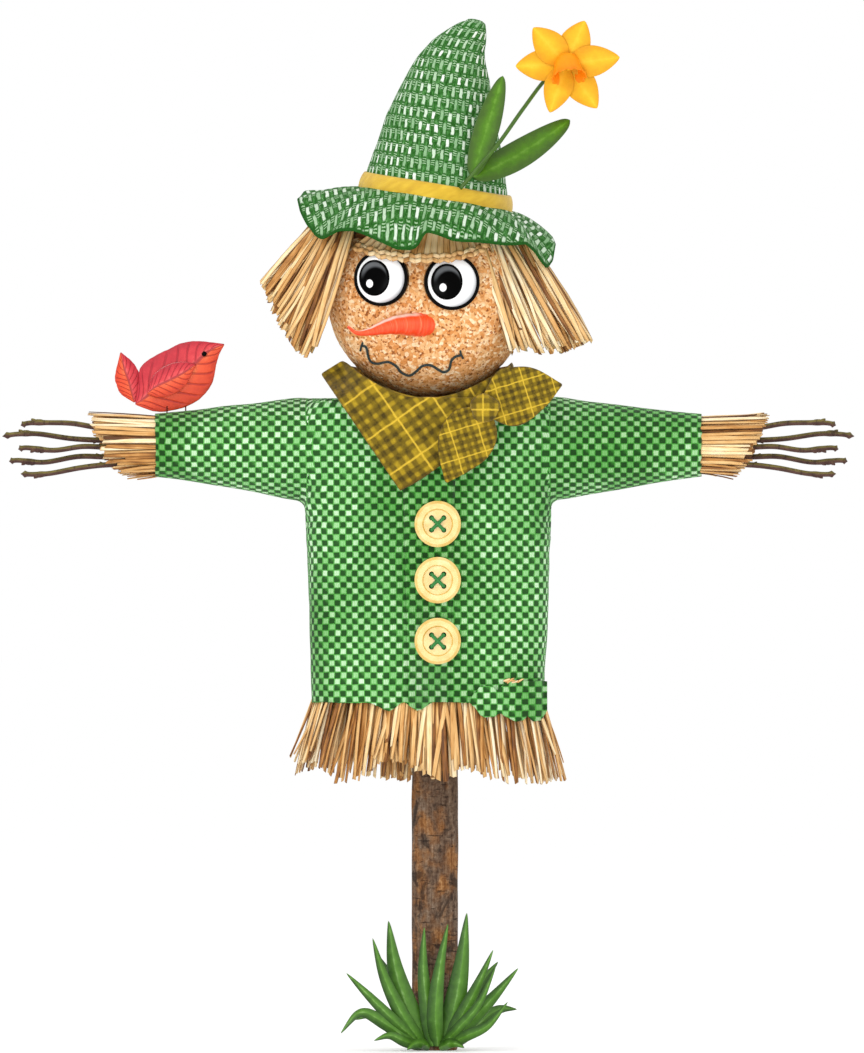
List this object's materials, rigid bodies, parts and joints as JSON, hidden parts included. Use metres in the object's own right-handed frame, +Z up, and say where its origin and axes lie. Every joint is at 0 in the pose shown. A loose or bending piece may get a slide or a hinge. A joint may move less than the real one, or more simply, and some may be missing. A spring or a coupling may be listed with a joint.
{
  "type": "garden scarecrow figure",
  "caption": "Small straw-stuffed scarecrow on a garden stake, arms out, with a cork-faced ball head, pointed woven hat, daffodil, scarf and checked coat.",
  "frame": {"origin": "on the stake's axis at ground level, where its round shank meets its shaved foot", "axes": "+Z up along the stake, the figure faces -Y, +X to the right for someone who faces the figure"},
  "size_m": [0.64, 0.2, 0.9232],
  "materials": {
    "bark_wood": "matte",
    "plain_wood": "matte",
    "steel": "satin",
    "straw": "matte",
    "braided_straw": "matte",
    "check_cloth": "matte",
    "patch_cloth": "matte",
    "twig": "satin",
    "plaid_cloth": "matte",
    "button_yellow": "satin",
    "green_thread": "matte",
    "grass": "satin",
    "cork": "matte",
    "black_plastic": "gloss",
    "eye_white": "gloss",
    "carrot": "satin",
    "dark_thread": "matte",
    "hat_weave": "matte",
    "yellow_ribbon": "satin",
    "flower_green": "matte",
    "petal_yellow": "matte",
    "corona_orange": "matte",
    "red_leaf": "matte",
    "dark_wire": "matte"
  },
  "bodies": {
    "figure": {"stake": "bark_wood", "neck_dowel": "plain_wood", "cross_arm": "plain_wood", "arm_screw": "steel", "straw_stuffing": "straw", "coat_body": "check_cloth", "left_sleeve": "check_cloth", "right_sleeve": "check_cloth", "hem_patch": "patch_cloth", "straw_skirt": "straw", "left_straw_cuff": "straw", "right_straw_cuff": "straw", "left_twig_1": "twig", "left_twig_2": "twig", "left_twig_3": "twig", "left_twig_4": "twig", "left_twig_5": "twig", "right_twig_1": "twig", "right_twig_2": "twig", "right_twig_3": "twig", "right_twig_4": "twig", "right_twig_5": "twig", "scarf_collar": "plaid_cloth", "scarf_drape": "plaid_cloth", "scarf_upper_tail": "plaid_cloth", "scarf_lower_tail": "plaid_cloth", "scarf_knot": "plaid_cloth", "top_button": "button_yellow", "middle_button": "button_yellow", "bottom_button": "button_yellow", "button_threads": "green_thread", "grass_tuft": "grass"},
    "head": {"head_ball": "cork", "left_eye_rim": "black_plastic", "right_eye_rim": "black_plastic", "left_eye_white": "eye_white", "right_eye_white": "eye_white", "left_pupil": "black_plastic", "right_pupil": "black_plastic", "carrot_nose": "carrot", "mouth_thread": "dark_thread", "hair_left": "straw", "hair_right": "straw", "hair_back": "straw", "hair_fringe": "braided_straw"},
    "hat": {"hat_crown": "hat_weave", "hat_brim": "hat_weave", "hat_band": "yellow_ribbon"},
    "daffodil": {"flower_stem": "flower_green", "flower_leaf_upper": "flower_green", "flower_leaf_lower": "flower_green", "petals": "petal_yellow", "flower_corona": "corona_orange", "stamens": "petal_yellow"},
    "bird": {"bird_body": "red_leaf", "bird_wing": "red_leaf", "bird_tail": "red_leaf", "bird_legs": "dark_wire", "bird_eye": "black_plastic"}
  },
  "joints": [
    {"name": "head_turn", "type": "hinge", "parent": "figure", "child": "head", "pos_m": [-0.005, 0, 0.5], "axis": [0, 0, 1], "range_deg": [-35, 35]},
    {"name": "hat_lift", "type": "slide", "parent": "head", "child": "hat", "axis": [0.165, 0, 0.9863], "range_m": [0, 0.09]},
    {"name": "flower_pull", "type": "slide", "parent": "hat", "child": "daffodil", "axis": [0.6001, 0.3471, 0.7207], "range_m": [0, 0.03]},
    {"name": "bird_lift", "type": "slide", "parent": "figure", "child": "bird", "axis": [0, 0, 1], "range_m": [0, 0.03]}
  ]
}
